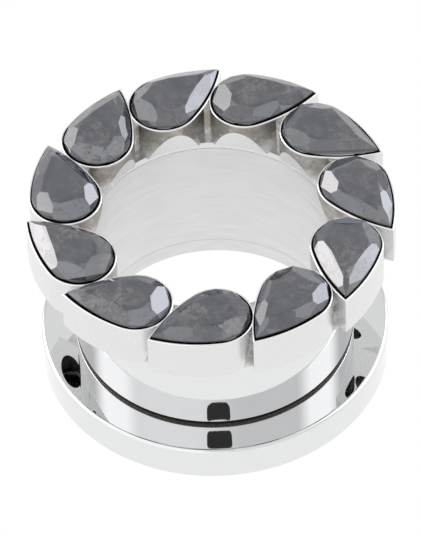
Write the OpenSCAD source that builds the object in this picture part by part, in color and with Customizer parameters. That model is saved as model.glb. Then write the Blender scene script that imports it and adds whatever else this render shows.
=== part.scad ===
// Screw-back ear tunnel: a steel barrel on a flat screw-on back, under a silver crown
// of pear-shaped bezel cups that each hold a faceted stone. Lengths are in millimetres
// and angles in degrees. Z runs up the bore from the underside of the back.

/* [Barrel] */
// Outer diameter of the barrel, which sits in the ear lobe
barrel_d = 16; // [14:0.5:24]
// Wall thickness of the barrel
barrel_wall = 0.85; // [0.7:0.05:1.4]
// Length of the barrel above the back
barrel_l = 6.75; // [4:0.25:12]
// Chamfer at the foot of the barrel
foot_chamfer = 0.2; // [0.05:0.05:0.3]
// Length of the barrel's threaded spigot inside the back
spigot_l = 1.2; // [0.8:0.1:1.4]
// Wall thickness of the spigot
spigot_wall = 0.45; // [0.3:0.05:0.6]

/* [Back] */
// How far the back stands out past the barrel
back_lip = 2; // [1:0.1:4]
// Thickness of the back
back_t = 2.2; // [1.8:0.1:3.5]
// Chamfer that breaks the back's sharp outer edges
edge_break = 0.08; // [0.02:0.02:0.2]
// Radial play of the spigot in the back's thread recess
thread_play = 0.04; // [0.02:0.01:0.08]

/* [Stones] */
// Length of a stone from its point to its round end
stone_l = 5.85; // [5:0.05:6.5]
// Width of a stone
stone_w = 3.8; // [3:0.05:4]
// Height of a stone above its girdle
stone_crown_h = 0.68; // [0.4:0.02:1]
// Depth of a stone below its girdle
stone_pavilion_h = 1.35; // [0.9:0.05:1.5]
// Thickness of a stone's girdle
girdle_t = 0.1; // [0.04:0.02:0.2]
// Size of a stone's table as a share of its outline
table_share = 0.56; // [0.4:0.02:0.7]
// Turn of each stone's long axis away from the radius
stone_turn = 69.6; // [55:0.1:80]
// How far the middles of the stones' round ends lie outside the barrel's wall
stone_offset = 0.27; // [0:0.01:0.6]
// Extra spacing along the ring from one stone to the next, past a stone's width
stone_spacing = 0.87; // [0.8:0.01:2]
// Direction of the first stone's round end, from +X
first_stone_a = 107.2; // [0:0.1:360]

/* [Crown] */
// Height of the bezel cups
cup_h = 2.72; // [2.6:0.02:4]
// Thickness of a cup's bezel wall
cup_wall = 0.16; // [0.12:0.01:0.3]
// Play round a stone in its cup
stone_play = 0.03; // [0.02:0.01:0.06]
// Width of the ledge that a stone's pavilion rests on
ledge_w = 0.5; // [0.3:0.05:0.7]
// How far the underside of the girdle sits below the rim of the cups
girdle_drop = 0.12; // [0.06:0.02:0.3]
// Height of the crown's neck, which sits on the barrel
neck_h = 0.35; // [0.2:0.05:0.8]
// How far the neck is set in from the barrel's outer wall
neck_in = 0.3; // [0.2:0.05:0.35]
// How far the neck's root runs up into the crown, where it leaves a ledge between the cups
neck_root = 0.1; // [0.06:0.02:0.3]
// How far the hole under each cup stands in from its stone's outline
hole_in = 1.2; // [1:0.05:1.3]
// How far the web between the cups reaches in past the barrel's outer wall
web_in = 0.45; // [0.1:0.05:0.7]
// How far the web's foot stands out past the barrel's outer wall
web_foot = 1.95; // [1:0.05:2.1]
// How far the web's rim stands out past the barrel's outer wall
web_rim = 1.3; // [1:0.05:2.1]
// Height of the taper inside the crown, from the barrel's end up
throat_h = 2.75; // [2:0.05:2.9]
// Gap between pieces that touch
seam = 0.02; // [0.01:0.01:0.04]

/* [Hidden] */
$fn = 128;
// A little extra for cuts that run past a face
past = 0.5;

// Direction from a stone's round end to the joint of its head arc and flank arcs
shoulder_a = 15;
// Steps along a flank and along half of the head: one main and one star each in turn
flank_steps = 5;
head_steps = 3;
// Girdle points for each step
girdle_points = 2;
// The pavilion's break: its reach from the middle of the stone and its depth, as shares
break_share = 0.6;
break_depth = 0.5;
// The crown's star points: their reach between table and girdle and their height, as shares
star_reach = 0.42;
star_height = 0.62;
// The middle of the stone's table and culet, from the head's centre, as a share of length
middle_share = 0.14;

barrel_r = barrel_d / 2;
bore_r = barrel_r - barrel_wall;
spigot_r = bore_r + spigot_wall;
back_r = barrel_r + back_lip;
seat_z = back_t + barrel_l;
neck_r = barrel_r - neck_in;
crown_z = seat_z + neck_h;
rim_z = crown_z + cup_h;
girdle_z = rim_z - girdle_drop;

head_r = stone_w / 2;
point_y = stone_l - head_r;
middle_y = middle_share * stone_l;
// Each flank is an arc that leaves the head circle without a corner and ends at the point
bow = (point_y * point_y - head_r * head_r) / (2 * (head_r - point_y * sin(shoulder_a)));
flank_r = head_r + bow;
flank_x = bow * cos(shoulder_a);
flank_y = bow * sin(shoulder_a);
point_a = atan2(point_y + flank_y, flank_x);
steps = 2 * (flank_steps + head_steps);
facets = steps / 2;
rim_points = steps * girdle_points;

ring_r = barrel_r + stone_offset;
stone_count = floor(2 * PI * ring_r / (stone_w + stone_spacing));
cup_grow = stone_play + cup_wall;
cup_inner_r = ring_r - head_r - cup_grow;
// The pavilion drops this far across the ledge, at its steepest
ledge_drop = ledge_w * stone_pavilion_h * break_depth / ((1 - break_share) * head_r);
ledge_z = girdle_z - ledge_drop - seam;
// The wide part of the well ends just below the culet
well_z = girdle_z - stone_pavilion_h - 0.1;
// The taper's small end passes the cups' inner faces by this much, so that it cuts them clean
throat_cut = 0.1;

function stone_name(i) = str("stone_", i < 10 ? "0" : "", i);

// A disc with its outer edges broken, down the middle of which everything is bored
module broken_disc(r, h, cut) {
    rotate_extrude()
        polygon([[0, 0], [r - cut, 0], [r, cut], [r, h - cut], [r - cut, h], [0, h]]);
}

module back_flange() {
    color([0.78, 0.79, 0.81])
    difference() {
        broken_disc(back_r, back_t, edge_break);
        translate([0, 0, -past])
            cylinder(r = bore_r, h = back_t + 2 * past);
        translate([0, 0, back_t - spigot_l - seam])
            cylinder(r = spigot_r + thread_play, h = spigot_l + seam + past);
    }
}

// Profile of the barrel's wall: spigot, shoulder on the back, chamfered foot and seat
module barrel() {
    foot_z = back_t + seam;
    color([0.74, 0.75, 0.78])
    rotate_extrude()
        polygon([
            [bore_r, back_t - spigot_l],
            [spigot_r, back_t - spigot_l],
            [spigot_r, foot_z],
            [barrel_r - foot_chamfer, foot_z],
            [barrel_r, foot_z + foot_chamfer],
            [barrel_r, seat_z],
            [bore_r, seat_z]
        ]);
}

// A stone's outline, grown by a margin: a head circle and two flank arcs to the point
module pear(grow) {
    reach = 2 * stone_l;
    circle(r = head_r + grow);
    intersection() {
        for_flank(-1) circle(r = flank_r + grow);
        for_flank(1) circle(r = flank_r + grow);
        translate([-reach / 2, (head_r + grow) * sin(shoulder_a)])
            square(reach);
    }
}

module for_flank(side) {
    translate([side * flank_x, -flank_y])
        children();
}

// Puts its children at stone i: the head's centre on the ring, the point turned outward
module at_stone(i) {
    rotate([0, 0, first_stone_a - (i - 1) * 360 / stone_count])
        translate([ring_r, 0, 0])
            rotate([0, 0, -90 - stone_turn])
                children();
}

// A cup's pocket: the stone's recess, the well for its pavilion and the hole at its back
module pocket() {
    translate([0, 0, ledge_z])
        linear_extrude(rim_z - ledge_z + past)
            pear(stone_play);
    translate([0, 0, well_z])
        linear_extrude(ledge_z - well_z + past)
            pear(-ledge_w);
    translate([0, 0, seat_z])
        linear_extrude(well_z - seat_z + past)
            pear(-hole_in);
}

// Metal between the cups, wider at the foot, so that the outer notches run out downwards
module web() {
    translate([0, 0, crown_z])
        difference() {
            cylinder(r1 = barrel_r + web_foot, r2 = barrel_r + web_rim, h = cup_h);
            translate([0, 0, -past])
                cylinder(r = barrel_r - web_in, h = cup_h + 2 * past);
        }
}

module setting_crown() {
    color([0.86, 0.86, 0.87])
    difference() {
        union() {
            translate([0, 0, crown_z])
                linear_extrude(cup_h)
                    for (i = [1:stone_count])
                        at_stone(i) pear(cup_grow);
            web();
            translate([0, 0, seat_z + seam])
                linear_extrude(neck_h - seam + neck_root)
                    difference() {
                        circle(r = neck_r);
                        circle(r = bore_r);
                    }
        }
        for (i = [1:stone_count])
            at_stone(i) pocket();
        translate([0, 0, seat_z])
            cylinder(r1 = bore_r, r2 = cup_inner_r - throat_cut, h = throat_h);
    }
}

// A point of the outline at step s, from the stone's point (0) round its right side
function half_outline(s) =
    s <= flank_steps
    ? let (a = point_a + (shoulder_a - point_a) * s / flank_steps)
        [flank_r * cos(a) - flank_x, flank_r * sin(a) - flank_y]
    : let (a = shoulder_a - (90 + shoulder_a) * (s - flank_steps) / head_steps)
        [head_r * cos(a), head_r * sin(a)];

function outline(s) =
    s <= steps / 2
    ? half_outline(s)
    : let (p = half_outline(steps - s)) [-p[0], p[1]];

// The same point, drawn in towards the stone's middle by a share and set at a height
function in_at(s, share, z) =
    let (p = outline(s))
    [p[0] * share, middle_y + (p[1] - middle_y) * share, z];

// A cut stone: table, stars, mains and upper facets over a girdle, and a pavilion below.
// The point arrays follow one another, and each name below is where its array starts.
module stone() {
    table = 0;
    star = table + facets;
    girdle_top = star + facets;
    girdle_foot = girdle_top + rim_points;
    knee = girdle_foot + rim_points;
    culet = knee + facets;
    star_share = 1 - (1 - table_share) * star_reach;
    per_facet = 2 * girdle_points;
    points = concat(
        [for (j = [0:facets - 1]) in_at(2 * j, table_share, girdle_t + stone_crown_h)],
        [for (j = [0:facets - 1]) in_at(2 * j + 1, star_share, girdle_t + stone_crown_h * star_height)],
        [for (k = [0:rim_points - 1]) in_at(k / girdle_points, 1, girdle_t)],
        [for (k = [0:rim_points - 1]) in_at(k / girdle_points, 1, 0)],
        [for (j = [0:facets - 1]) in_at(2 * j + 1, break_share, -stone_pavilion_h * break_depth)],
        [[0, middle_y, -stone_pavilion_h]]
    );
    next = function (j) (j + 1) % facets;
    before = function (j) (j + facets - 1) % facets;
    after = function (k) (k + 1) % rim_points;
    faces = concat(
        [[for (j = [0:facets - 1]) table + j]],
        [for (j = [0:facets - 1]) [table + next(j), table + j, star + j]],
        [for (j = [0:facets - 1]) [table + j, star + before(j), girdle_top + per_facet * j]],
        [for (j = [0:facets - 1]) [table + j, girdle_top + per_facet * j, star + j]],
        [for (j = [0:facets - 1], k = [per_facet * j:per_facet * (j + 1) - 1])
            [star + j, girdle_top + k, girdle_top + after(k)]],
        [for (k = [0:rim_points - 1])
            [girdle_top + after(k), girdle_top + k, girdle_foot + k, girdle_foot + after(k)]],
        [for (j = [0:facets - 1], k = [per_facet * j:per_facet * (j + 1) - 1])
            [knee + j, girdle_foot + after(k), girdle_foot + k]],
        [for (j = [0:facets - 1]) [culet, knee + j, girdle_foot + per_facet * j]],
        [for (j = [0:facets - 1]) [culet, girdle_foot + per_facet * j, knee + before(j)]]
    );
    color([0.36, 0.36, 0.4])
    polyhedron(points, faces);
}

back_flange();
barrel();
setting_crown();
for (i = [1:stone_count])
    translate([0, 0, girdle_z]) at_stone(i) stone();
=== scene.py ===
"""Dresses the packed ear tunnel: a mirror-polished steel barrel and back, a satin crown of
eleven bezel cups and the dark faceted stones in them, on a white studio table.

Laid out as a Blender add-on and run as a script. Settings are in metres. A piece is drawn
on the bench at a thousand times its size, so one unit is a millimetre, and is brought down
to its real size when it is finished."""

import functools
import math
import random

import bmesh
import bpy
from mathutils import Matrix, Vector


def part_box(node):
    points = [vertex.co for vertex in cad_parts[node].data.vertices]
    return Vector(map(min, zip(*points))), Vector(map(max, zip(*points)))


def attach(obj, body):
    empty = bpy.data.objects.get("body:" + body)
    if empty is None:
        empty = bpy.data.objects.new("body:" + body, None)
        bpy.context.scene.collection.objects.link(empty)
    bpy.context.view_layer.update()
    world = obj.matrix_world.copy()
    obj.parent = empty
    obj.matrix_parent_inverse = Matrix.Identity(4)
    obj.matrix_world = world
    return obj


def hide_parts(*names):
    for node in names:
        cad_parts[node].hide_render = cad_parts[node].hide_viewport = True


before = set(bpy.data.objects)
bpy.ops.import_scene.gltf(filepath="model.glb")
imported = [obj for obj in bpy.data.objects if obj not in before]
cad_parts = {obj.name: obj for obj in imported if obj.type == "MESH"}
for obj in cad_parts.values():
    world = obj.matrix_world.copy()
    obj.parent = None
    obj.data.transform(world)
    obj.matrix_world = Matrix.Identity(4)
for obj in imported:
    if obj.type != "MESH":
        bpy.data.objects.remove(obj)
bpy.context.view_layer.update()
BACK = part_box("back_flange")[1]
BARREL_FOOT, BARREL_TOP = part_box("barrel")
CROWN_FOOT, CROWN_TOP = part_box("setting_crown")

bl_info = {
    "name": "Ear tunnel",
    "version": (1, 0, 0),
    "blender": (4, 5, 0),
    "location": "View3D > Sidebar > Ear tunnel",
    "description": "Makes a steel ear tunnel with a ring of pear-cut stones",
    "category": "Object",
}

MM = 0.001
# The photograph's frame in pixels, and the sensor that the lens is given for
FRAME_PIXELS = (421, 536)
SENSOR = 36.0


# Settings

def a_length(name, description, default):
    return bpy.props.FloatProperty(
        name=name, description=description, default=default, unit="LENGTH")


def an_angle(name, description, degrees):
    return bpy.props.FloatProperty(
        name=name, description=description, default=math.radians(degrees), subtype="ANGLE")


def a_share(name, description, default):
    return bpy.props.FloatProperty(
        name=name, description=description, default=default, subtype="FACTOR", min=0, max=1)


def a_colour(name, description, *rgb):
    return bpy.props.FloatVectorProperty(
        name=name, description=description, default=(*rgb, 1), subtype="COLOR", size=4,
        min=0, max=1)


class SteelSettings(bpy.types.PropertyGroup):
    """Sizes of the two turned steel pieces."""
    back_r: a_length("Back radius", "Outer radius of the flat back", BACK.x)
    back_t: a_length("Back thickness", "Thickness of the flat back", BACK.z)
    barrel_r: a_length("Barrel radius", "Outer radius of the barrel", BARREL_TOP.x)
    barrel_top: a_length("Barrel top", "Height of the barrel's upper end", BARREL_TOP.z)
    barrel_foot: a_length(
        "Spigot foot", "Height of the spigot's lower end, inside the back", BARREL_FOOT.z)
    bore_r: a_length("Bore radius", "Radius of the bore", 0.00715)
    spigot_r: a_length("Spigot radius", "Outer radius of the threaded spigot", 0.0076)
    foot_chamfer: a_length("Foot chamfer", "Chamfer where the barrel meets the back", 0.00026)
    foot_edge: a_length("Foot edge", "Height of the small facet above that chamfer", 0.00002)
    seam: a_length("Seam", "Gap between pieces that touch", 0.00002)
    floor_gap: a_length(
        "Floor gap", "Gap under the spigot's foot, seen as a line in the bore", 0.00001)
    thread_play: a_length("Thread play", "Radial play of the spigot in its recess", 0.00004)
    thread_pitch: a_length("Thread pitch", "Rise of the thread in one turn", 0.0004)
    thread_depth: a_length("Thread depth", "Depth of the thread", 0.00012)
    back_edge: a_length("Back edge", "Rounding of the back's edges", 0.00008)
    back_round: a_length("Back rim", "Rounding of the back's upper outer edge", 0.00024)
    bore_edge: a_length("Bore edge", "Rounding of the edges along the bore", 0.000006)
    barrel_edge: a_length("Barrel edge", "Rounding of the barrel's edges", 0.00006)


class StoneSettings(bpy.types.PropertyGroup):
    """Sizes of the pear-cut stones and their places on the ring."""
    count: bpy.props.IntProperty(
        name="Stones", description="How many stones the ring holds",
        default=sum(name.startswith("stone_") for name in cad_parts), min=3)
    length: a_length("Length", "Length from the point to the round end", 0.00585)
    width: a_length("Width", "Width across the round end", 0.0038)
    crown_h: a_length("Crown height", "Height of the table over the girdle", 0.000545)
    pavilion_h: a_length("Pavilion depth", "Depth of the culet under the girdle", 0.00135)
    girdle_t: a_length("Girdle", "Thickness of the girdle", 0.0001)
    table_share: a_share("Table", "Size of the table as a share of the outline", 0.58)
    shoulder: an_angle("Shoulder", "Direction in which the round end meets the flanks", 15)
    ring_r: a_length("Ring radius", "Radius on which the round ends' middles lie", 0.00827)
    turn: an_angle("Turn", "Turn of each stone's long axis away from the radius", 69.6)
    first: an_angle("First stone", "Direction of the first stone's round end", 107.2)
    girdle_z: a_length("Girdle height", "Height of the underside of the girdle", 0.012)
    shift: a_length("Shift", "How far a stone sits from the middle of its cup", 0.00002)
    settle: a_length("Settle", "How far all stones lie towards the far side of their cups", 0.00003)
    lean: an_angle("Lean", "How far a stone leans in its cup", 1)
    unevenness: a_share("Unevenness", "How unevenly the facets are cut", 0.07)


class CrownSettings(bpy.types.PropertyGroup):
    """Sizes of the bezel cups and the metal that joins them."""
    foot_z: a_length("Foot", "Height of the cups' underside", 0.0093)
    rim_z: a_length("Rim", "Height of the bezel rims", CROWN_TOP.z - 0.00004)
    cup_grow: a_length("Cup outside", "How far a cup's outside stands off its stone", 0.000187)
    pocket_grow: a_length("Cup inside", "How far a cup's inside stands off its stone", 0.00009)
    rim_edge: a_length("Rim edge", "Rounding of the rims' outer edge", 0.00005)
    foot_edge: a_length("Foot edge", "Rounding of the cups' lower edge", 0.00006)
    ledge_z: a_length("Ledge", "Height of the ledge under the stones", 0.011436)
    ledge_w: a_length("Ledge width", "Width of that ledge", 0.0005)
    well_z: a_length("Well", "Height at which the wells open backwards", 0.01045)
    hole_l: a_length("Hole length", "Length of the oval hole under a cup", 0.0026)
    hole_w: a_length("Hole width", "Width of that hole", 0.00108)
    hole_at: a_length(
        "Hole middle", "From the middle of the stone's round end to that hole", 0.0014)
    neck_r: a_length("Neck radius", "Outer radius of the neck on the barrel", 0.0077)
    neck_z: a_length("Neck foot", "Height of the neck's underside", CROWN_FOOT.z)
    neck_top: a_length("Neck root", "Height of the neck's root between the cups", 0.0094)
    web_in_r: a_length("Web inside", "Inner radius of the web between the cups", 0.00755)
    web_foot_r: a_length("Web foot", "Outer radius of the web at its foot", 0.00995)
    web_rim_r: a_length("Web rim", "Outer radius of the web at the rims", 0.0093)
    web_drop: a_length("Web drop", "How far the web's top lies under the rims", 0.0001)
    throat_z: a_length("Throat foot", "Height at which the taper inside the crown starts", 0.00895)
    throat_h: a_length("Throat height", "Height of that taper", 0.00275)
    throat_top_r: a_length("Throat top", "Radius of the taper's upper end", 0.00608)


class FinishSettings(bpy.types.PropertyGroup):
    """Colours and polish."""
    steel: a_colour("Steel", "Colour of the polished steel", 0.74, 0.745, 0.75)
    silver: a_colour("Silver", "Colour of the crown", 0.735, 0.737, 0.737)
    rim: a_colour("Rims", "Colour of the crown's polished rims", 0.86, 0.86, 0.86)
    # Tarnish, which also serves as painted shade on the crown's walls and web and in the back's
    # ring
    tarnish_and_shade: a_colour(
        "Tarnish", "Colour of the crown where it was not polished", 0.27, 0.243, 0.215)
    stone: a_colour("Stone", "Body colour of the stones", 0.15, 0.158, 0.185)
    table: a_colour("Tables", "Body colour under the stones' tables", 0.014, 0.017, 0.03)
    cloud: a_colour("Clouds", "Colour of the stones' cloudy patches", 0.115, 0.112, 0.114)
    vein: a_colour("Veins", "Colour of the stones' dark veins", 0.005, 0.005, 0.006)
    bore: a_colour("Bore", "Colour of the turned steel in the bore", 0.68, 0.68, 0.68)
    # Foot: painted shade in the groove where the barrel meets the back
    foot: a_colour("Foot", "Colour of the line where the barrel meets the back", 0.12, 0.114, 0.108)
    # Gaps: also painted shade, on the cups' pocket walls and the stones' girdles
    gap: a_colour("Gaps", "Colour of oxidised metal in gaps and wells", 0.02, 0.019, 0.018)
    polish: a_share("Polish", "Roughness of the polished steel", 0.015)


class StageSettings(bpy.types.PropertyGroup):
    """Place and lens of the camera."""
    target: bpy.props.FloatVectorProperty(
        name="Target", description="The point that the camera looks at", subtype="XYZ",
        unit="LENGTH", default=(-0.000142, 0, 0.00662))
    distance: a_length("Distance", "From the camera to the target", 0.4)
    elevation: an_angle("Elevation", "How far the camera looks down", 48.87)
    roll: an_angle("Roll", "Roll of the camera", -2.213)
    focal_pixels: bpy.props.FloatProperty(
        name="Focal length", description="Focal length in pixels of the frame",
        default=6995.6)


SETTINGS = {
    "tunnel_steel": SteelSettings,
    "tunnel_stones": StoneSettings,
    "tunnel_crown": CrownSettings,
    "tunnel_finish": FinishSettings,
    "tunnel_stage": StageSettings,
}


# Bench work: everything here is in millimetres

# Points closer than WELD are one point, and a cutter runs on past what it cuts by OVERRUN
WELD, OVERRUN = 1e-4, 0.3
# Sides of a turned piece, steps of its rounded rim, and rings in one turn of its thread
ROUND, RIM_STEPS, THREAD_RINGS = 256, 6, 8
# Steps along a flank of a pear. Its head takes twice as many
CUP_STEPS, WELL_STEPS, STONE_STEPS = 20, 12, 24
# Segments of a cup's rounded edges
CUP_EDGE = 4
# Edges sharper than SHARP are rounded, and shading runs on over edges blunter than SMOOTH
SHARP, SMOOTH, CROWN_SMOOTH = math.radians(50), math.radians(30), math.radians(25)


def mm(length):
    return length / MM


def deselect_all():
    if bpy.context.mode != "OBJECT":
        bpy.ops.object.mode_set(mode="OBJECT")
    bpy.ops.object.select_all(action="DESELECT")


def added(name):
    """The mesh that was added last, under its name."""
    piece = bpy.context.object
    piece.name = piece.data.name = name
    return piece


def coat(piece, material):
    piece.data.materials.append(material)


def take(piece):
    """Selects one piece and makes it the one in hand."""
    deselect_all()
    piece.select_set(True)
    bpy.context.view_layer.objects.active = piece


def edit_all():
    """Opens the mesh in hand and selects all of it."""
    bpy.ops.object.mode_set(mode="EDIT")
    bpy.ops.mesh.select_all(action="SELECT")


def weld(distance=WELD):
    """Joins the points of the mesh in hand that lie this close together."""
    bpy.ops.mesh.select_all(action="SELECT")
    bpy.ops.mesh.remove_doubles(threshold=distance)


def face_outwards():
    bpy.ops.mesh.select_all(action="SELECT")
    bpy.ops.mesh.normals_make_consistent(inside=False)


def close_block():
    """Turns the faces of the mesh in hand outwards and leaves edit mode."""
    face_outwards()
    bpy.ops.object.mode_set(mode="OBJECT")


def extrude_up(height):
    bpy.ops.mesh.extrude_region_move(TRANSFORM_OT_translate={"value": (0, 0, height)})


def round_outline(z, width):
    """Rounds the edges of the mesh in hand that lie at one height."""
    bpy.ops.mesh.select_all(action="DESELECT")
    bpy.ops.mesh.select_mode(type="VERT")
    mesh = bmesh.from_edit_mesh(bpy.context.object.data)
    for v in mesh.verts:
        v.select = abs(v.co.z - z) < WELD
    mesh.select_flush_mode()
    bmesh.update_edit_mesh(bpy.context.object.data)
    bpy.ops.mesh.bevel(offset=width, segments=CUP_EDGE, affect="EDGES", clamp_overlap=True)


def put_away(piece):
    """Brings a finished piece from the bench's millimetres down to metres."""
    take(piece)
    edit_all()
    bpy.ops.transform.resize(value=(MM, MM, MM), center_override=(0, 0, 0))
    deselect_all()


def modify(piece, kind, **options):
    """Adds a modifier and applies it."""
    modifier = piece.modifiers.new("work", kind)
    for key, value in options.items():
        setattr(modifier, key, value)
    bpy.context.view_layer.objects.active = piece
    bpy.ops.object.modifier_apply(modifier=modifier.name)


def shade(piece, angle=SMOOTH):
    """Smooth over curved walls and rounded edges, flat over the flat faces between them."""
    take(piece)
    bpy.ops.object.shade_smooth_by_angle(angle=angle)
    modify(piece, "WEIGHTED_NORMAL", keep_sharp=True, weight=100)


def turn_on_lathe(name, profile):
    """A closed turned ring: a circle drawn out point by point round its (radius, height)."""
    deselect_all()
    bpy.ops.mesh.primitive_circle_add(vertices=ROUND, radius=profile[0][0])
    piece = added(name)
    edit_all()
    bpy.ops.transform.translate(value=(0, 0, profile[0][1]))
    for (r0, z0), (r1, z1) in zip(profile, profile[1:] + profile[:1]):
        extrude_up(z1 - z0)
        bpy.ops.transform.resize(value=(r1 / r0, r1 / r0, 1), center_override=(0, 0, z1))
    weld()
    close_block()
    return piece


def turned_block(name, inner_r, low, outer_r, high, top_r=None):
    """A plain ring from low to high. Its outside can taper to top_r."""
    return turn_on_lathe(name, [
        (inner_r, low), (outer_r, low), (top_r or outer_r, high), (inner_r, high)])


def cut_thread(piece, low, high, wall_r, pitch, depth):
    """Moves the rings between two heights along a helix, which makes a thread: outwards, or
    inwards if the depth is negative. It fades out over half a turn at both ends."""
    for v in piece.data.vertices:
        r = math.hypot(v.co.x, v.co.y)
        if abs(r - wall_r) > abs(depth) / 2 or not low < v.co.z < high:
            continue
        share = (v.co.z / pitch + math.atan2(v.co.y, v.co.x) / math.tau) % 1
        ends = min(1, (v.co.z - low) / pitch * 2, (high - v.co.z) / pitch * 2)
        factor = 1 + depth * ends * (1 - abs(2 * share - 1)) / r
        v.co.x *= factor
        v.co.y *= factor


def turn_threaded(name, profile, edge, segments, *thread):
    """A turned ring with rounded edges and a thread, brought to its real size."""
    piece = turn_on_lathe(name, profile)
    modify(piece, "BEVEL", width=edge, segments=segments, limit_method="ANGLE",
           angle_limit=SHARP, use_clamp_overlap=False)
    cut_thread(piece, *thread)
    shade(piece)
    put_away(piece)
    return piece


def thread_rings(r, low, high, pitch):
    """Profile points down a wall, close enough together for the thread."""
    count = max(2, round((high - low) / pitch * THREAD_RINGS))
    return [(r, low + (high - low) * i / count) for i in range(count, -1, -1)]


def quarter(r, z, size):
    """Profile points of a rounded corner, from its outer wall up to its top."""
    turns = [math.pi / 2 * i / RIM_STEPS for i in range(RIM_STEPS + 1)]
    return [(r + size * math.cos(a), z + size * math.sin(a)) for a in turns]


class Pear:
    """A stone's outline: a head circle about the origin and two flank arcs to the point."""

    # Steps along a flank, and from there to the head's end, in which facets are counted
    FLANK, HEAD = 5, 3

    def __init__(self, stones):
        self.head_r = mm(stones.width) / 2
        self.point_y = mm(stones.length) - self.head_r
        self.shoulder = stones.shoulder
        reach = self.head_r - self.point_y * math.sin(self.shoulder)
        bow = (self.point_y ** 2 - self.head_r ** 2) / (2 * reach)
        self.flank_r = self.head_r + bow
        self.flank_x = bow * math.cos(self.shoulder)
        self.flank_y = bow * math.sin(self.shoulder)

    def point(self, grow=0.0):
        """Height of the point when the outline is grown, and the turn of each flank."""
        radius = self.flank_r + grow
        rise = math.sqrt(radius ** 2 - self.flank_x ** 2)
        return rise - self.flank_y, math.atan2(rise, self.flank_x) - self.shoulder

    def draw(self, name, grow, z, steps):
        """Draws the grown outline as one face: a single point spun along the three arcs."""
        tip, flank_turn = self.point(grow)
        deselect_all()
        bpy.ops.mesh.primitive_plane_add(size=1)
        piece = added(name)
        bpy.ops.object.mode_set(mode="EDIT")
        bpy.ops.mesh.merge(type="CENTER")
        bpy.ops.transform.translate(value=(0, tip, z))
        arcs = ((steps, flank_turn, -self.flank_x, -self.flank_y),
                (2 * steps, math.pi + 2 * self.shoulder, 0, 0),
                (steps, flank_turn, self.flank_x, -self.flank_y))
        for count, turn, x, y in arcs:
            bpy.ops.mesh.spin(steps=count, angle=turn, center=(x, y, z), axis=(0, 0, 1))
        weld()
        bpy.ops.mesh.edge_face_add()
        return piece

    def at(self, step):
        """The outline's point at a step, from the stone's point (0) round its right side."""
        half = self.FLANK + self.HEAD
        if step > half:
            x, y = self.at(2 * half - step)
            return -x, y
        if step <= self.FLANK:
            a = self.shoulder + self.point()[1] * (1 - step / self.FLANK)
            return (self.flank_r * math.cos(a) - self.flank_x,
                    self.flank_r * math.sin(a) - self.flank_y)
        a = self.shoulder - (math.pi / 2 + self.shoulder) * (step - self.FLANK) / self.HEAD
        return self.head_r * math.cos(a), self.head_r * math.sin(a)


def place_on_ring(stones, index):
    """Matrix that puts a pear drawn at the origin into place number index."""
    around = stones.first - index * math.tau / stones.count
    return (Matrix.Rotation(around, 4, "Z")
            @ Matrix.Translation((mm(stones.ring_r), 0, 0))
            @ Matrix.Rotation(-math.pi / 2 - stones.turn, 4, "Z"))


def copies(piece, places):
    """Copies of a piece with their own meshes, one at each place. The piece is used up."""
    made = []
    for i, place in enumerate(places):
        copy = piece.copy()
        copy.data = piece.data.copy()
        copy.name = copy.data.name = f"{piece.name} {i}"
        bpy.context.scene.collection.objects.link(copy)
        copy.data.transform(place)
        made.append(copy)
    bpy.data.objects.remove(piece, do_unlink=True)
    return made


def combine(piece, operation, others):
    """Adds the other pieces to this one, or cuts them out of it, and uses them up."""
    group = bpy.data.collections.new("others")
    bpy.context.scene.collection.children.link(group)
    for other in others:
        for user in list(other.users_collection):
            user.objects.unlink(other)
        group.objects.link(other)
    modify(piece, "BOOLEAN", operation=operation, operand_type="COLLECTION", collection=group,
           solver="MANIFOLD", material_mode="TRANSFER")
    for other in others:
        bpy.data.objects.remove(other, do_unlink=True)
    bpy.data.collections.remove(group)


# Materials. Heights and radii in them are in millimetres, scales of noises are per metre, and
# depths of relief are in metres

BLOTCH = (1500.0, 4.0, 0.65)
GRAIN = (9000.0, 3.0)
CLOUD = (1000.0, 5.0)
MOTTLE = (3200.0, 4.0, 0.7)
VEIN = (700.0, 3.0)
CLEARNESS = (260.0, 1.0, 0.5)
LINES = (4.0, 4.0)
# Hairlines are this much finer than the haze that they lie in
HAIR = 14.0
# A noise seldom leaves these limits
USUAL = (0.3, 0.7)
# Radius of the circle on which the noise of the turned lines is taken
AROUND = 0.8
# How far the turned lines darken the bore, and where its look ends outside its wall
LINE_SHADE, BORE_EDGE = 0.03, (0.03, 0.05)
# Roughness of unpolished metal, rims and girdles, and of what varies in it
DULL, RIM_POLISH, GIRDLE_DULL = 0.6, 0.08, 0.5
BORE_DULL, CROWN_DULL, STONE_POLISH = (0.31, 0.4), (0.26, 0.34), (0.05, 0.16)
# Amount and scale of the handling marks
STEEL_MARKS, SILVER_MARKS, GAP_MARKS = (0.02, 900.0), (0.08, 700.0), (0.2, 2000.0)
LINE_DEPTH, GRAIN_DEPTH, STONE_DEPTH = 0.0000025, 0.000004, 0.000002
STONE_IOR = 2.05


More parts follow.
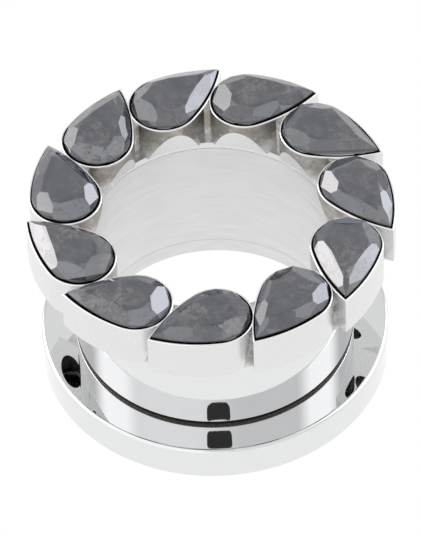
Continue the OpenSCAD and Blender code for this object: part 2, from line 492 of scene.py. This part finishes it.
class Wires:
    """Adds nodes to a tree and wires them. A value is a number, a vector or a socket."""

    def __init__(self, tree):
        self.tree = tree

    def node(self, kind, inputs=(), **options):
        """Adds a node and feeds its inputs, given as pairs of a name or number and a value."""
        made = self.tree.nodes.new(kind)
        for key, value in options.items():
            setattr(made, key, value)
        for key, value in inputs:
            self.feed(made.inputs[key], value)
        return made

    def feed(self, socket, value):
        if isinstance(value, bpy.types.NodeSocket):
            self.tree.links.new(value, socket)
        else:
            socket.default_value = value

    def math(self, operation, *values):
        return self.node("ShaderNodeMath", enumerate(values), operation=operation).outputs[0]

    def times(self, first, *others):
        for other in others:
            first = self.math("MULTIPLY", first, other)
        return first

    def plus(self, a, b):
        return self.math("ADD", a, b)

    def rest(self, value):
        """What the value leaves of one."""
        return self.math("SUBTRACT", 1.0, value)

    def apart(self, a, b):
        """How far two values lie apart."""
        return self.math("ABSOLUTE", self.math("SUBTRACT", a, b))

    def ramp(self, value, low, high, start=0.0, end=1.0):
        """Runs smoothly from start at low to end at high."""
        return self.node("ShaderNodeMapRange", (
            ("Value", value), ("From Min", low), ("From Max", high), ("To Min", start),
            ("To Max", end)), interpolation_type="SMOOTHSTEP").outputs[0]

    def fall(self, value, low, high):
        """Runs smoothly from one at low to zero at high."""
        return self.ramp(value, low, high, 1, 0)

    def band(self, value, low, full, last, high):
        """Rises from zero at low to one at full, and falls from one at last to zero at high."""
        return self.times(self.ramp(value, low, full), self.fall(value, last, high))

    def noise(self, vector, scale, detail, roughness=0.6):
        return self.node("ShaderNodeTexNoise", (
            ("Vector", vector), ("Scale", scale), ("Detail", detail),
            ("Roughness", roughness))).outputs["Fac"]

    def mix(self, share, a, b):
        """Colour a, or b where the share is one."""
        return self.node(
            "ShaderNodeMix", ((0, share), (6, a), (7, b)), data_type="RGBA").outputs[2]

    def blend(self, share, a, b):
        """Number a, or b where the share is one."""
        return self.node(
            "ShaderNodeMix", ((0, share), (2, a), (3, b)), data_type="FLOAT").outputs[0]

    def position(self, kind="Object"):
        return self.node("ShaderNodeTexCoord").outputs[kind]

    def split(self, vector):
        return self.node("ShaderNodeSeparateXYZ", ((0, vector),)).outputs

    def place(self):
        """Radius and height on a turned piece."""
        return self.node("ShaderNodeGroup", node_tree=turned_place()).outputs

    def marks(self, amount, size):
        """Haze and shade of handling marks."""
        return self.node("ShaderNodeGroup", node_tree=handling_marks(), inputs=(
            ("Amount", amount), ("Size", size))).outputs

    def bump(self, shader, distance, height, strength=1.0):
        relief = self.node("ShaderNodeBump", (
            ("Distance", distance), ("Height", height), ("Strength", strength)))
        self.feed(shader["Normal"], relief.outputs[0])

    def unless_seen(self, value, seen):
        """The value, or the other one where the camera looks straight at it."""
        straight = self.node("ShaderNodeLightPath").outputs["Is Camera Ray"]
        return self.blend(straight, value, seen)


def new_group(name, inputs, outputs):
    """An empty shader node group: its wires, what it is given and what it gives."""
    tree = bpy.data.node_groups.new(name, "ShaderNodeTree")
    for label in inputs:
        tree.interface.new_socket(label, in_out="INPUT", socket_type="NodeSocketFloat")
    for label, kind in outputs:
        tree.interface.new_socket(label, in_out="OUTPUT", socket_type=f"NodeSocket{kind}")
    wires = Wires(tree)
    return wires, wires.node("NodeGroupInput").outputs, wires.node("NodeGroupOutput").inputs


@functools.cache
def turned_place():
    """Group: radius and height on a turned piece, and a vector that runs round it."""
    wires, _, out = new_group(
        "turned place", (), (("Radius", "Float"), ("Height", "Float"), ("Around", "Vector")))
    x, y, z = wires.split(wires.position())
    radius = wires.math("SQRT", wires.plus(wires.times(x, x), wires.times(y, y)))
    radius = wires.math("DIVIDE", radius, MM)
    height = wires.math("DIVIDE", z, MM)
    angle = wires.math("ARCTAN2", y, x)
    around = wires.node("ShaderNodeCombineXYZ", (
        (0, wires.times(wires.math("SINE", angle), AROUND)),
        (1, wires.times(wires.math("COSINE", angle), AROUND)),
        (2, wires.plus(height, radius))))
    wires.feed(out["Radius"], radius)
    wires.feed(out["Height"], height)
    wires.feed(out["Around"], around.outputs[0])
    return wires.tree


@functools.cache
def handling_marks():
    """Group: the fine haze and hairlines that handling leaves on polished metal."""
    wires, given, out = new_group(
        "handling marks", ("Amount", "Size"), (("Haze", "Float"), ("Shade", "Float")))
    position = wires.position()
    cloud = wires.noise(position, given["Size"], 3.0)
    hair = wires.noise(position, wires.times(given["Size"], HAIR), 1.0, 0.5)
    haze = wires.times(wires.ramp(cloud, 0.45, 0.75), wires.ramp(hair, 0.5, 0.7))
    wires.feed(out["Haze"], wires.times(haze, given["Amount"]))
    wires.feed(out["Shade"], wires.ramp(cloud, *USUAL, 0.985, 1.0))
    return wires.tree


def metal(name, colour, roughness):
    """A plain metal with its tree's wires and its shader's inputs."""
    material = bpy.data.materials.new(name)
    material.use_nodes = True
    shader = material.node_tree.nodes["Principled BSDF"].inputs
    shader["Metallic"].default_value = 1.0
    shader["Roughness"].default_value = roughness
    shader["Base Color"].default_value = colour
    return material, Wires(material.node_tree), shader


def turned_steel(name, finish, bore_r, unpolished):
    """Steel with a mirror polish outside and turned satin in the bore. The function that is
    given says where else it is unpolished and darkened with painted shade, and with what colour."""
    material, wires, shader = metal(name, finish.steel, finish.polish)
    place = wires.place()
    marks = wires.marks(*STEEL_MARKS)
    bore = wires.fall(place["Radius"], *(bore_r + edge for edge in BORE_EDGE))
    lines = wires.noise(place["Around"], *LINES)
    dark_lines = wires.times(wires.ramp(lines, 0.35, 0.65), LINE_SHADE)
    satin = wires.mix(dark_lines, finish.bore, finish.gap)
    # Painted shade: the places given here are coloured dark as well as made dull
    dark, colour = unpolished(wires, place)
    dark = wires.times(dark, wires.rest(bore))
    steel = wires.mix(wires.rest(marks["Shade"]), finish.steel, finish.gap)
    steel = wires.mix(bore, steel, satin)
    wires.feed(shader["Base Color"], wires.mix(dark, steel, colour))
    rough = wires.blend(bore, wires.plus(marks["Haze"], finish.polish),
                        wires.ramp(lines, *USUAL, *BORE_DULL))
    wires.feed(shader["Roughness"], wires.blend(dark, rough, DULL))
    wires.bump(shader, LINE_DEPTH, wires.times(lines, bore))
    return material


def back_steel(finish, bore_r, gap_r, gap_z):
    """The back: painted shade in a ring where the barrel's foot sits, the shade of the groove
    between the two parts, less dark in a line at its edge.
    """
    def ring(wires, place):
        inside = wires.fall(place["Radius"], gap_r - 0.01, gap_r + 0.01)
        line = wires.times(wires.ramp(place["Radius"], gap_r - 0.06, gap_r - 0.04), inside)
        # Painted shade of the groove between back and barrel, on the back's top face only
        dark = wires.times(inside, wires.ramp(place["Height"], gap_z - 0.1, gap_z - 0.05))
        return dark, wires.mix(line, finish.foot, finish.tarnish_and_shade)
    return turned_steel("polished steel", finish, bore_r, ring)


def barrel_steel(finish, bore_r, foot_z):
    """The barrel: painted shade at the foot, in the groove where it meets the back."""
    def foot(wires, place):
        return wires.fall(place["Height"], foot_z - 0.02, foot_z), finish.foot
    return turned_steel("barrel steel", finish, bore_r, foot)


def satin_silver(name, finish, rim_z, stain_and_shade_r, web=False):
    """The crown: satin cast metal with polished rims and a fine grain. It is tarnished where
    no wheel reached, and the same brown is painted shade there: inside a given radius, and all over
    the web in the notches between the cups."""
    material, wires, shader = metal(name, finish.silver, 0.3)
    place = wires.place()
    height = place["Height"]
    marks = wires.marks(*SILVER_MARKS)
    rim = wires.ramp(height, rim_z - 0.05, rim_z - 0.02)
    position = wires.position()
    grain = wires.noise(position, *GRAIN)
    blotch = wires.noise(position, *BLOTCH)
    shade = wires.times(marks["Shade"], wires.ramp(grain, *USUAL, 0.97, 1.0))
    colour = wires.mix(wires.rest(shade), finish.silver, finish.gap)
    # Tarnish and painted shade in one brown: all over the web, and inside the radius higher up the
    # walls, short of the rims
    if web:
        stain_and_shade = wires.ramp(blotch, 0.3, 0.6, 0.3, 0.95)
    else:
        reach = wires.plus(height, wires.times(blotch, 1.6))
        stain_and_shade = wires.times(wires.ramp(reach, rim_z - 1.7, rim_z - 0.1, 0.12, 0.95),
                            wires.ramp(blotch, 0.25, 0.6, 0.65, 1.0),
                            wires.fall(place["Radius"], stain_and_shade_r, stain_and_shade_r + 0.3))
    stain_and_shade = wires.times(stain_and_shade, wires.fall(height, rim_z - 0.12, rim_z - 0.05),
                        wires.ramp(height, rim_z - 3.2, rim_z - 1.8, 0.1, 1))
    colour = wires.mix(stain_and_shade, colour, finish.tarnish_and_shade)
    wires.feed(shader["Base Color"], wires.mix(rim, colour, finish.rim))
    satin = wires.plus(marks["Haze"], wires.ramp(grain, *USUAL, *CROWN_DULL))
    wires.feed(shader["Roughness"], wires.blend(rim, satin, RIM_POLISH))
    wires.bump(shader, GRAIN_DEPTH, grain, wires.rest(rim))
    return material


def pocket_silver(finish, rim_z):
    """Oxidised metal in the gaps round the stones, darkened to near black as painted shade of those
    gaps, bright at the rims.
    """
    material, wires, shader = metal("oxidised and shaded silver", finish.gap, 0.5)
    bright = wires.ramp(wires.place()["Height"], rim_z - 0.06, rim_z - 0.02)
    bright = wires.math("MAXIMUM", bright, wires.marks(*GAP_MARKS)["Haze"])
    wires.feed(shader["Base Color"], wires.mix(bright, finish.gap, finish.silver))
    return material


def well_silver(finish):
    """Rough cast metal under the stones, tarnished and blotchy."""
    material, wires, shader = metal("rough silver", finish.tarnish_and_shade, 0.4)
    clean = wires.ramp(wires.noise(wires.position(), *BLOTCH), 0.5, 0.7)
    wires.feed(shader["Base Color"], wires.mix(clean, finish.tarnish_and_shade, finish.silver))
    return material


def dark_stone(finish, girdle_z, table_z):
    """Polished hematite-like stone: bluish grey, with brownish clouds, small pits and an
    unpolished girdle, painted near black as the shade it sits in."""
    material, wires, shader = metal("dark stone", finish.stone, 0.06)
    shader["Metallic"].default_value = 0.0
    shader["IOR"].default_value = STONE_IOR
    height = wires.place()["Height"]
    position = wires.position()
    cloud = wires.noise(position, *CLOUD)
    mottle = wires.noise(position, *MOTTLE)
    # Some stones are clearer than others
    spread = wires.ramp(wires.noise(position, *CLEARNESS), 0.4, 0.56, 0.4, 1.0)
    share = wires.times(wires.ramp(cloud, 0.32, 0.62),
                        wires.ramp(mottle, *USUAL, 0.1, 1.0), spread)
    under_table = wires.ramp(height, table_z - 0.09, table_z - 0.06)
    # Light inside the stone makes its facets unlike each other
    painted_facet_light = wires.node("ShaderNodeAttribute", attribute_name="painted_facet_light").outputs["Fac"]
    facet = wires.mix(wires.times(painted_facet_light, painted_facet_light), finish.table, finish.stone)
    colour = wires.mix(share, wires.mix(under_table, facet, finish.table), finish.cloud)
    # A vein runs where a noise crosses its middle
    vein = wires.apart(wires.noise(position, *VEIN), 0.5)
    vein = wires.times(wires.fall(vein, 0.0, 0.03), wires.ramp(mottle, 0.35, 0.6), spread)
    pits = wires.times(wires.ramp(mottle, 0.62, 0.68), wires.ramp(cloud, 0.5, 0.6))
    colour = wires.mix(wires.math("MAXIMUM", vein, pits), colour, finish.vein)
    # The girdle is dull, and painted shade makes it near black where it sits in the bezel
    belt = wires.fall(wires.apart(height, girdle_z), 0.04, 0.055)
    wires.feed(shader["Base Color"], wires.mix(belt, colour, finish.gap))
    polish = wires.ramp(mottle, 0.5, 0.8, *STONE_POLISH)
    wires.feed(shader["Roughness"], wires.blend(belt, polish, GIRDLE_DULL))
    wires.bump(shader, STONE_DEPTH, cloud, 0.5)
    return material


# Pieces

class TUNNEL_OT_back(bpy.types.Operator):
    """Turns the flat back with its thread recess"""
    bl_idname = "tunnel.back"
    bl_label = "Back"

    def execute(self, context):
        s = context.scene.tunnel_steel
        bore, top, outer = mm(s.bore_r), mm(s.back_t), mm(s.back_r)
        recess = mm(s.spigot_r + s.thread_play)
        floor = mm(s.barrel_foot - s.floor_gap)
        edge, soft, slight = mm(s.back_edge), mm(s.back_round), mm(s.bore_edge)
        pitch = mm(s.thread_pitch)
        thread = (floor + 2 * edge, top - 2 * edge)
        piece = turn_threaded("back", [
            (outer, 0), *quarter(outer - soft, top - soft, soft), (recess, top),
            *thread_rings(recess, *thread, pitch), (recess, floor), (bore + slight, floor),
            (bore, floor - slight), (bore, slight), (bore + slight, 0)
        ], edge, 4, *thread, recess, pitch, mm(s.thread_depth))
        coat(piece, back_steel(context.scene.tunnel_finish, bore, mm(s.barrel_r), top))
        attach(piece, "back")
        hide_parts("back_flange")
        return {"FINISHED"}


class TUNNEL_OT_barrel(bpy.types.Operator):
    """Turns the barrel with its threaded spigot and chamfered foot"""
    bl_idname = "tunnel.barrel"
    bl_label = "Barrel"

    def execute(self, context):
        s = context.scene.tunnel_steel
        outer, bore, spigot = mm(s.barrel_r), mm(s.bore_r), mm(s.spigot_r)
        top, low, foot = mm(s.barrel_top), mm(s.barrel_foot), mm(s.back_t + s.seam)
        chamfer, edge = mm(s.foot_chamfer), mm(s.barrel_edge)
        slight, facet, pitch = mm(s.bore_edge), mm(s.foot_edge), mm(s.thread_pitch)
        thread = (low + 2 * edge, foot - 3 * edge)
        piece = turn_threaded("tube", [
            (outer, top), (outer, foot + chamfer + facet), (outer - facet / 2, foot + chamfer),
            (outer - chamfer, foot), (spigot, foot), *thread_rings(spigot, *thread, pitch),
            (spigot, low), (bore + slight, low), (bore, low + slight), (bore, top)
        ], edge, 3, *thread, spigot, pitch, -mm(s.thread_depth))
        coat(piece, barrel_steel(context.scene.tunnel_finish, bore, foot + chamfer))
        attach(piece, "front")
        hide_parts("barrel")
        return {"FINISHED"}


class TUNNEL_OT_crown(bpy.types.Operator):
    """Builds the crown of bezel cups: cups, web and neck, less pockets and throat"""
    bl_idname = "tunnel.crown"
    bl_label = "Crown"

    # A pocket widens from this far under the rim, and by this times as much across and along,
    # about a point this share of the way to the stone's point
    FLARE = 0.02
    FLARE_BY = (2, 1.4)
    FLARE_FROM = 0.25

    def cup(self, pear, c):
        foot, rim = mm(c.foot_z), mm(c.rim_z)
        piece = pear.draw("cup", mm(c.cup_grow), foot, CUP_STEPS)
        extrude_up(rim - foot)
        face_outwards()
        round_outline(rim, mm(c.rim_edge))
        round_outline(foot, mm(c.foot_edge))
        deselect_all()
        return piece

    def pocket(self, pear, c):
        """Cutter for a stone's recess, a little flared at the rim."""
        ledge, flare = mm(c.ledge_z), self.FLARE
        piece = pear.draw("pocket", mm(c.pocket_grow), ledge, CUP_STEPS)
        extrude_up(mm(c.rim_z) - flare - ledge)
        extrude_up(2 * flare)
        wider = [1 + times * flare / pear.head_r for times in self.FLARE_BY]
        bpy.ops.transform.resize(value=(*wider, 1),
                                 center_override=(0, pear.point_y * self.FLARE_FROM, 0))
        close_block()
        return piece

    def well(self, pear, c):
        """Cutter for the room under a stone, inside the ledge."""
        low = mm(c.well_z)
        piece = pear.draw("well", -mm(c.ledge_w), low, WELL_STEPS)
        extrude_up(mm(c.ledge_z) - low + OVERRUN)
        close_block()
        return piece

    def hole(self, c):
        """Cutter for the oval hole from the well out of the back."""
        low, height = mm(c.neck_z), mm(c.well_z - c.neck_z) + OVERRUN
        deselect_all()
        bpy.ops.mesh.primitive_cylinder_add(
            vertices=48, radius=0.5, depth=height, location=(0, mm(c.hole_at), low + height / 2),
            scale=(mm(c.hole_w), mm(c.hole_l), 1))
        bpy.ops.object.transform_apply()
        return added("hole")

    def throat(self, bore, c):
        """Cutter for the taper inside the crown."""
        deselect_all()
        bpy.ops.mesh.primitive_cone_add(
            vertices=ROUND, radius1=bore, radius2=mm(c.throat_top_r), depth=mm(c.throat_h),
            location=(0, 0, mm(c.throat_z) + mm(c.throat_h) / 2))
        bpy.ops.object.transform_apply()
        return added("throat")

    def execute(self, context):
        scene = context.scene
        c, stones, finish = scene.tunnel_crown, scene.tunnel_stones, scene.tunnel_finish
        bore, web_r, rim = mm(scene.tunnel_steel.bore_r), mm(c.web_in_r), mm(c.rim_z)
        pear = Pear(stones)
        places = [place_on_ring(stones, i) for i in range(stones.count)]
        bright = satin_silver("throat silver", finish, rim, 0)
        crown = turned_block("crown", web_r, mm(c.foot_z), mm(c.web_foot_r),
                             mm(c.rim_z - c.web_drop), mm(c.web_rim_r))
        coat(crown, satin_silver("web silver", finish, rim, web_r, web=True))
        neck = turned_block("neck", bore, mm(c.neck_z), mm(c.neck_r), mm(c.neck_top))
        coat(neck, bright)
        cup = self.cup(pear, c)
        coat(cup, satin_silver("satin silver", finish, rim, web_r))
        combine(crown, "UNION", copies(cup, places) + [neck])
        cutters = []
        for block, inside in ((self.pocket(pear, c), pocket_silver(finish, rim)),
                              (self.well(pear, c), well_silver(finish)),
                              (self.hole(c), bright)):
            coat(block, inside)
            cutters += copies(block, places)
        throat = self.throat(bore, c)
        coat(throat, bright)
        combine(crown, "DIFFERENCE", cutters + [throat])
        shade(crown, CROWN_SMOOTH)
        put_away(crown)
        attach(crown, "front")
        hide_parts("setting_crown")
        return {"FINISHED"}


class TUNNEL_OT_stones(bpy.types.Operator):
    """Cuts each stone facet by facet and sets it in its cup"""
    bl_idname = "tunnel.stones"
    bl_label = "Stones"

    # Each stone's own unevenness is drawn from its seed
    SEEDS = (59, 18, 52, 1, 57, 21, 47, 3, 48, 13, 19)
    # A facet's painted light comes from its own direction, times these, and so looks random
    FACET_LIGHT_WAY = (97, 57, 31)
    # From the round end's middle to the culet, as a share of the stone's length
    MIDDLE_SHARE = 0.14
    # Heights of a star's foot and of the girdle facets' top, as shares of the crown's height
    STAR_FOOT = 0.76
    HALF_TOP = 0.46
    # Part of a step along the outline over which its direction is taken
    TANGENT = 0.01
    # A cut spares points this close to it. Afterwards points this close together are joined,
    # and facets this flat to each other
    CUT_MARGIN = 1e-6
    STONE_WELD = 5e-4
    FLAT = math.radians(0.1)
    # The golden angle, which spreads small differences evenly over the stones
    GOLDEN = math.pi * (3 - math.sqrt(5))

    def facet(self, through, outward):
        """Grinds away what lies beyond the plane through three points."""
        a, b, c = through
        normal = (b - a).cross(c - a).normalized()
        if normal.dot(outward) < 0:
            normal.negate()
        bpy.ops.mesh.select_all(action="SELECT")
        bpy.ops.mesh.bisect(plane_co=a, plane_no=normal, use_fill=True, clear_outer=True,
                            threshold=self.CUT_MARGIN)

    def cut(self, pear, s, chance):
        """One stone. Its facets are a little uneven, as they are when cut by hand."""
        girdle, top, depth = mm(s.girdle_t), mm(s.girdle_t + s.crown_h), mm(s.pavilion_h)
        middle = Vector((0, self.MIDDLE_SHARE * mm(s.length), 0))
        steps = 2 * (pear.FLANK + pear.HEAD)

        def uneven(share):
            return share * (1 + s.unevenness * chance.uniform(-1, 1))

        def inside(step, share, z):
            x, y = pear.at(step % steps)
            return Vector((x * share, middle.y + (y - middle.y) * share, z))

        def direction(step):
            return inside(step + self.TANGENT, 1, 0) - inside(step - self.TANGENT, 1, 0)

        piece = pear.draw("stone", 0, -depth, STONE_STEPS)
        extrude_up(depth + top)
        face_outwards()
        mains = []
        for k in range(0, steps, 2):
            rim = inside(k, 1, girdle)
            table = inside(k, uneven(s.table_share), top)
            along = direction(k)
            self.facet((rim, table, rim + along), rim - middle)
            mains.append((rim, table, (table - rim).cross(along).normalized()))
        for j, k in enumerate(range(0, steps, 2)):
            (p0, t0, n0), (p1, t1, n1) = mains[j], mains[(j + 1) % len(mains)]
            # Two mains meet in a ridge, which carries the star's foot and the girdle facets' top
            ridge = n0.cross(n1)
            start = n0.dot(p0) * n1.cross(ridge) + n1.dot(p1) * ridge.cross(n0)
            start /= ridge.length_squared
            star, knot = (
                start + ridge * ((girdle + uneven(share) * (top - girdle) - start.z) / ridge.z)
                for share in (self.STAR_FOOT, self.HALF_TOP))
            self.facet((t0, t1, star), (star - middle) + Vector((0, 0, 1)))
            half = inside(k + 1, 1, girdle)
            for corner in (p0, p1):
                self.facet((knot, corner, half), half - middle)
        culet = middle - Vector((0, 0, depth))
        for k in range(steps):
            belt = inside(k, 1, 0)
            self.facet((belt, belt + direction(k), culet), belt - middle - Vector((0, 0, 1)))
        weld(self.STONE_WELD)
        bpy.ops.mesh.dissolve_limited(angle_limit=self.FLAT)
        close_block()
        painted_facet_lights = piece.data.attributes.new("painted_facet_light", "FLOAT", "FACE").data
        for painted_facet_light, face in zip(painted_facet_lights, piece.data.polygons):
            painted_facet_light.value = face.normal.dot(Vector(self.FACET_LIGHT_WAY)) % 1
        return piece

    def seat(self, s, index):
        """Matrix that sets a stone in its cup: a little off the middle and leaning a little."""
        way = index * self.GOLDEN
        middle = Matrix.Translation((0, self.MIDDLE_SHARE * mm(s.length), 0))
        lean = Matrix.Rotation(s.lean, 4, (math.cos(way * 3), math.sin(way * 3), 0))
        off = Matrix.Translation((mm(s.shift) * math.cos(way), mm(s.shift) * math.sin(way), 0))
        lift = Matrix.Translation((0, mm(s.settle), mm(s.girdle_z)))
        return lift @ place_on_ring(s, index) @ off @ middle @ lean @ middle.inverted()

    def execute(self, context):
        scene = context.scene
        s = scene.tunnel_stones
        pear = Pear(s)
        material = dark_stone(scene.tunnel_finish, mm(s.girdle_z + s.girdle_t / 2),
                              mm(s.girdle_z + s.girdle_t + s.crown_h))
        for i in range(s.count):
            node = f"stone_{i + 1:02d}"
            piece = self.cut(pear, s, random.Random(self.SEEDS[i % len(self.SEEDS)]))
            piece.name = piece.data.name = f"cut_{node}"
            coat(piece, material)
            piece.data.transform(self.seat(s, i))
            put_away(piece)
            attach(piece, "front")
            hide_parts(node)
        return {"FINISHED"}


# Stage, in metres

TABLE_SIZE = 3
# The table lies this far under the part, and lights it a little more than it shows
TABLE_DROP = 0.00001
TABLE_LIGHT = 1.08
CLIP = (0.01, 10)

# Two dark cards on the line of sight. Barrel and flange mirror them as a corner does: from
# where the two meet they are CARD_AWAY off, one under the line, for the barrel, and one over
# it. The spans are each card's lower and upper edge
CARD_AWAY = 0.018
CARD_SPANS = ((-0.00136, -0.00034), (0.00039, 0.00145))
CARD_W = 0.0054
CARD_LIGHT = 0.048
# Power that squares a circle, and how far the sides bend up, which a round mirror undoes
CARD_SQUARE = 0.4
CARD_BEND = 0.00024

# The tent's lights, and where they are in degrees round from the camera's side or up from the
# table. Of four limits a light comes in between two and goes out between two. Where a light
# has two strengths, it runs from the one on the left, or near the camera, to the other
FRONT_LIGHT, FRONT_LIMITS = (1.24, 0.94), (60, 130)
BACK_LIGHT, BACK_LIMITS = (0.76, 0.9), (130, 180)
SIDE_LIGHT, SIDE_ROUND, SIDE_UP = 1.6, (68, 86, 106, 128), (5, 15)
TOP_LIGHT, TOP_UP = 0.8, (60, 80)
LAMP_LIGHT, LAMP_ROUND, LAMP_UP = (5.2, 4.0), (90, 98, 131, 139), (2, 8, 41, 46)
# The lamps' colours, left and right
LAMP_COLOURS = ((1.03, 0.99, 0.99, 1), (0.95, 0.98, 1.06, 1))
WHITE = (1, 1, 1, 1)


def glow(name, light, seen):
    """Material that gives off even light. The camera sees it with a strength of its own."""
    material = bpy.data.materials.new(name)
    material.use_nodes = True
    material.node_tree.nodes.clear()
    wires = Wires(material.node_tree)
    shine = wires.node("ShaderNodeEmission", (("Strength", wires.unless_seen(light, seen)),))
    wires.node("ShaderNodeOutputMaterial", (("Surface", shine.outputs[0]),))
    return material


def facing(centre, right, up):
    """Matrix of a thing at the centre whose x and y run along right and up."""
    axes = Matrix((right, up, right.cross(up))).transposed()
    return Matrix.Translation(centre) @ axes.to_4x4()


def place_card(centre, height, right, up):
    """A card that shows in reflections alone."""
    bpy.ops.mesh.primitive_circle_add(vertices=96, fill_type="NGON")
    card = added("card")
    for corner in card.data.vertices:
        x, y = (math.copysign(abs(c) ** CARD_SQUARE, c) for c in corner.co[:2])
        corner.co = (x * CARD_W / 2, y * height / 2 + CARD_BEND * x * x, 0)
    card.matrix_world = facing(centre, right, up)
    card.visible_camera = card.visible_diffuse = card.visible_shadow = False
    coat(card, glow("card", CARD_LIGHT, CARD_LIGHT))


def tent():
    """White tent seen in the reflections."""
    world = bpy.data.worlds.new("tent")
    world.use_nodes = True
    world.node_tree.nodes.clear()
    wires = Wires(world.node_tree)
    x, y, z = wires.split(wires.position("Generated"))
    degrees = math.degrees(1)
    up = wires.times(wires.math("ARCSINE", z), degrees)
    round_ = wires.math("ABSOLUTE", wires.times(
        wires.math("ARCTAN2", x, wires.times(y, -1.0)), degrees))
    light = wires.blend(wires.ramp(round_, *FRONT_LIMITS),
                        wires.ramp(x, -0.25, 0.25, *FRONT_LIGHT),
                        wires.ramp(round_, *BACK_LIMITS, *BACK_LIGHT))
    side = wires.times(wires.band(round_, *SIDE_ROUND), wires.ramp(up, *SIDE_UP))
    light = wires.blend(side, light, SIDE_LIGHT)
    light = wires.blend(wires.ramp(up, *TOP_UP), light, TOP_LIGHT)
    lamp = wires.times(wires.band(round_, *LAMP_ROUND), wires.band(up, *LAMP_UP))
    light = wires.blend(lamp, light, wires.ramp(x, -0.2, 0.2, *LAMP_LIGHT))
    colour = wires.mix(lamp, WHITE, wires.mix(wires.ramp(x, -0.2, 0.2), *LAMP_COLOURS))
    shine = wires.node("ShaderNodeBackground", (
        ("Color", colour), ("Strength", wires.unless_seen(light, 1.0))))
    wires.node("ShaderNodeOutputWorld", (("Surface", shine.outputs[0]),))
    return world


class TUNNEL_OT_stage(bpy.types.Operator):
    """Sets the white table, the tent, the cards and the camera"""
    bl_idname = "tunnel.stage"
    bl_label = "Stage"

    def execute(self, context):
        scene = context.scene
        s = scene.tunnel_stage
        deselect_all()
        bpy.ops.mesh.primitive_plane_add(size=TABLE_SIZE)
        table = added("table")
        table.location.z = -TABLE_DROP
        coat(table, glow("light table", TABLE_LIGHT, 1.0))
        scene.world = tent()
        look = Vector((0, math.cos(s.elevation), -math.sin(s.elevation)))
        right = Vector((1, 0, 0))
        up = right.cross(look)
        eye = Vector(s.target) - look * s.distance
        corner = Vector((0, -scene.tunnel_steel.barrel_r, scene.tunnel_steel.back_t))
        for low, high in CARD_SPANS:
            place_card(corner + (eye - corner).normalized() * CARD_AWAY + up * (low + high) / 2,
                       high - low, right, up)
        camera = bpy.data.cameras.new("camera")
        camera.sensor_width = SENSOR
        camera.lens = s.focal_pixels * SENSOR / max(FRAME_PIXELS)
        camera.clip_start, camera.clip_end = CLIP
        holder = bpy.data.objects.new("camera", camera)
        scene.collection.objects.link(holder)
        cos, sin = math.cos(s.roll), math.sin(s.roll)
        holder.matrix_world = facing(eye, right * cos + up * sin, up * cos - right * sin)
        scene.camera = holder
        scene.view_settings.view_transform = "Standard"
        return {"FINISHED"}


class TUNNEL_PT_panel(bpy.types.Panel):
    """Lists the settings and the pieces"""
    bl_idname = "TUNNEL_PT_panel"
    bl_label = "Ear tunnel"
    bl_space_type = "VIEW_3D"
    bl_region_type = "UI"
    bl_category = "Ear tunnel"

    def draw(self, context):
        for key, kind in SETTINGS.items():
            box = self.layout.box()
            box.label(text=kind.__doc__.rstrip("."))
            for name in kind.__annotations__:
                box.prop(getattr(context.scene, key), name)
        for operator in PIECES:
            self.layout.operator(operator.bl_idname)


PIECES = (TUNNEL_OT_back, TUNNEL_OT_barrel, TUNNEL_OT_crown, TUNNEL_OT_stones, TUNNEL_OT_stage)
CLASSES = tuple(SETTINGS.values()) + PIECES + (TUNNEL_PT_panel,)


def register():
    for kind in CLASSES:
        bpy.utils.register_class(kind)
    for key, kind in SETTINGS.items():
        setattr(bpy.types.Scene, key, bpy.props.PointerProperty(type=kind))


def unregister():
    for key in SETTINGS:
        delattr(bpy.types.Scene, key)
    for kind in reversed(CLASSES):
        bpy.utils.unregister_class(kind)


def main():
    register()
    bpy.ops.tunnel.stage()
    bpy.ops.tunnel.back()
    bpy.ops.tunnel.barrel()
    bpy.ops.tunnel.crown()
    bpy.ops.tunnel.stones()


if __name__ == "__main__":
    main()
